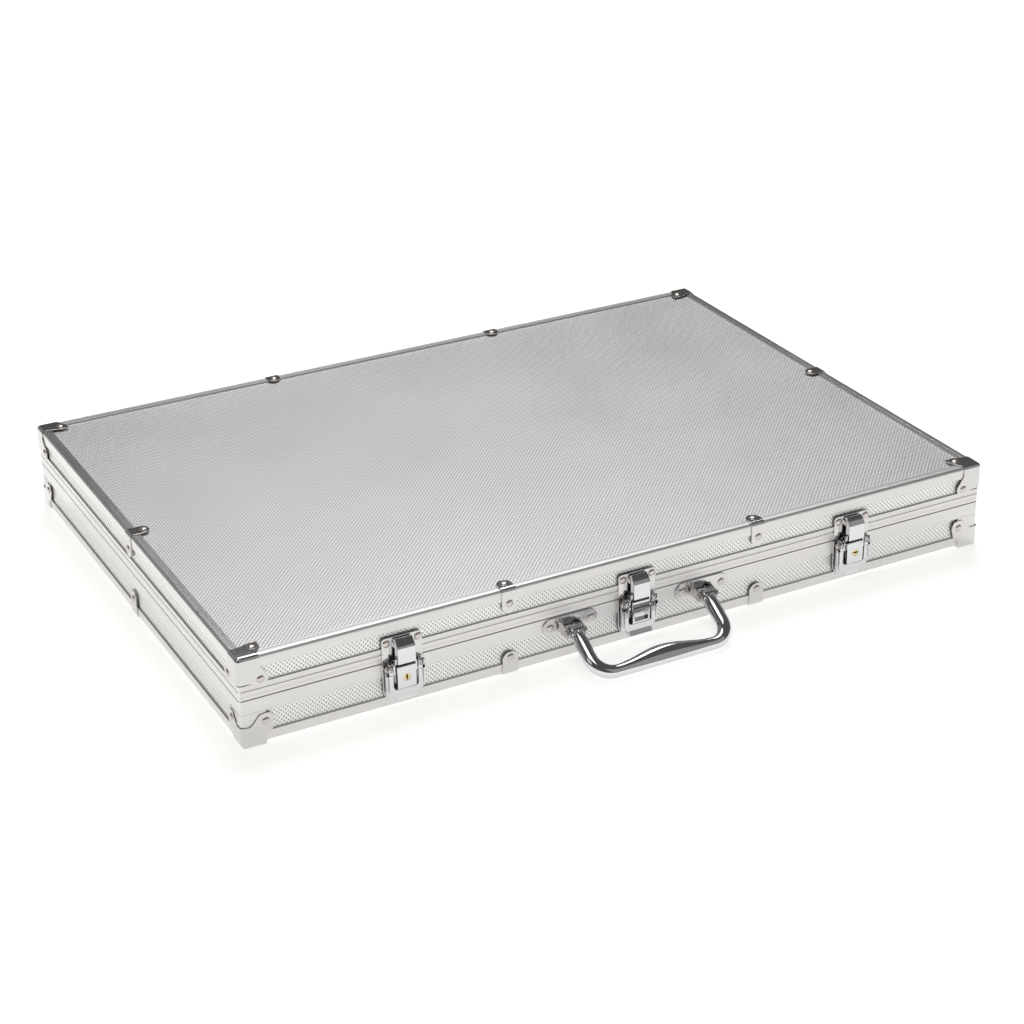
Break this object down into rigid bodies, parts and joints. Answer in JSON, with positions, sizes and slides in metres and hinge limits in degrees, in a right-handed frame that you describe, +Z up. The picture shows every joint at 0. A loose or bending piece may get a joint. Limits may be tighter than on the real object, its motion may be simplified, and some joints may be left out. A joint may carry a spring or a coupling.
{
  "type": "poker chip case",
  "caption": "Flat aluminium carrying case for poker chips, with embossed panels, riveted corner caps, three draw latches, a folding handle and a hinged lid over foam trays",
  "frame": {"origin": "middle of the footprint of the whole object, handle and hinges included, on the surface that it rests on", "axes": "+X along the width, -Y out of the face with the latches and handle, +Z up out of the lid"},
  "size_m": [0.562, 0.4426, 0.064],
  "materials": {
    "embossed_sheet": "embossed aluminium sheet, satin, on board",
    "satin_aluminium": "extruded aluminium, satin anodised",
    "plated_steel": "pressed and plated steel, bright",
    "steel_pins": "steel rivets and pins",
    "brass": "turned brass key plug",
    "foam": "black foam with a flocked face"
  },
  "bodies": {
    "base": {"base_panel": "embossed_sheet", "base_front_panel": "embossed_sheet", "base_back_panel": "embossed_sheet", "base_left_panel": "embossed_sheet", "base_right_panel": "embossed_sheet", "base_front_edge": "satin_aluminium", "base_back_edge": "satin_aluminium", "base_left_edge": "satin_aluminium", "base_right_edge": "satin_aluminium", "base_front_rim": "satin_aluminium", "base_back_rim": "satin_aluminium", "base_left_rim": "satin_aluminium", "base_right_rim": "satin_aluminium", "base_corner_caps": "plated_steel", "base_edge_clips": "plated_steel", "base_rivets": "steel_pins", "left_chip_tray": "foam", "right_chip_tray": "foam", "accessory_tray": "foam", "latch_base_plates": "plated_steel", "lever_pins": "steel_pins", "left_lock_body": "plated_steel", "right_lock_body": "plated_steel", "middle_latch_cover": "plated_steel", "handle_brackets": "plated_steel", "handle_pins": "plated_steel", "hinge_base_leaves": "plated_steel", "hinge_pins": "steel_pins"},
    "lid": {"lid_panel": "embossed_sheet", "lid_front_panel": "embossed_sheet", "lid_back_panel": "embossed_sheet", "lid_left_panel": "embossed_sheet", "lid_right_panel": "embossed_sheet", "lid_front_edge": "satin_aluminium", "lid_back_edge": "satin_aluminium", "lid_left_edge": "satin_aluminium", "lid_right_edge": "satin_aluminium", "lid_front_rim": "satin_aluminium", "lid_back_rim": "satin_aluminium", "lid_left_rim": "satin_aluminium", "lid_right_rim": "satin_aluminium", "lid_corner_caps": "plated_steel", "lid_edge_clips": "plated_steel", "lid_rivets": "steel_pins", "lid_pad": "foam", "catch_plates": "plated_steel", "hinge_lid_leaves": "plated_steel"},
    "handle": {"handle_bow": "plated_steel"},
    "left_lever_body": {"left_lever": "plated_steel", "left_hook_pins": "steel_pins"},
    "left_hook_body": {"left_hook": "plated_steel"},
    "middle_lever_body": {"middle_lever": "plated_steel", "middle_hook_pins": "steel_pins"},
    "middle_hook_body": {"middle_hook": "plated_steel"},
    "right_lever_body": {"right_lever": "plated_steel", "right_hook_pins": "steel_pins"},
    "right_hook_body": {"right_hook": "plated_steel"},
    "left_plug_body": {"left_lock_plug": "brass"},
    "right_plug_body": {"right_lock_plug": "brass"}
  },
  "joints": [
    {"name": "lid_hinge", "type": "hinge", "parent": "base", "child": "lid", "pos_m": [0, 0.21829, 0.033], "axis": [-1, 0, 0], "range_deg": [0, 100]},
    {"name": "handle_pivot", "type": "hinge", "parent": "base", "child": "handle", "pos_m": [0, -0.18661, 0.0225], "axis": [-1, 0, 0], "range_deg": [-55, 75]},
    {"name": "left_lever_pivot", "type": "hinge", "parent": "base", "child": "left_lever_body", "pos_m": [-0.17, -0.18291, 0.0314], "axis": [-1, 0, 0], "range_deg": [0, 130]},
    {"name": "left_hook_pivot", "type": "hinge", "parent": "left_lever_body", "child": "left_hook_body", "pos_m": [-0.17, -0.18191, 0.0264], "axis": [-1, 0, 0], "range_deg": [-143, 0]},
    {"name": "middle_lever_pivot", "type": "hinge", "parent": "base", "child": "middle_lever_body", "pos_m": [0, -0.18291, 0.0314], "axis": [-1, 0, 0], "range_deg": [0, 130]},
    {"name": "middle_hook_pivot", "type": "hinge", "parent": "middle_lever_body", "child": "middle_hook_body", "pos_m": [0, -0.18191, 0.0264], "axis": [-1, 0, 0], "range_deg": [-143, 0]},
    {"name": "right_lever_pivot", "type": "hinge", "parent": "base", "child": "right_lever_body", "pos_m": [0.17, -0.18291, 0.0314], "axis": [-1, 0, 0], "range_deg": [0, 130]},
    {"name": "right_hook_pivot", "type": "hinge", "parent": "right_lever_body", "child": "right_hook_body", "pos_m": [0.17, -0.18191, 0.0264], "axis": [-1, 0, 0], "range_deg": [-143, 0]},
    {"name": "left_lock_turn", "type": "hinge", "parent": "base", "child": "left_plug_body", "pos_m": [-0.17, -0.18361, 0.0234], "axis": [0, -1, 0], "range_deg": [0, 90]},
    {"name": "right_lock_turn", "type": "hinge", "parent": "base", "child": "right_plug_body", "pos_m": [0.17, -0.18361, 0.0234], "axis": [0, -1, 0], "range_deg": [-90, 0]}
  ],
  "couplings": [
    {"joint": "left_hook_pivot", "follows": "left_lever_pivot", "ratio": -1.1},
    {"joint": "middle_hook_pivot", "follows": "middle_lever_pivot", "ratio": -1.1},
    {"joint": "right_hook_pivot", "follows": "right_lever_pivot", "ratio": -1.1}
  ]
}
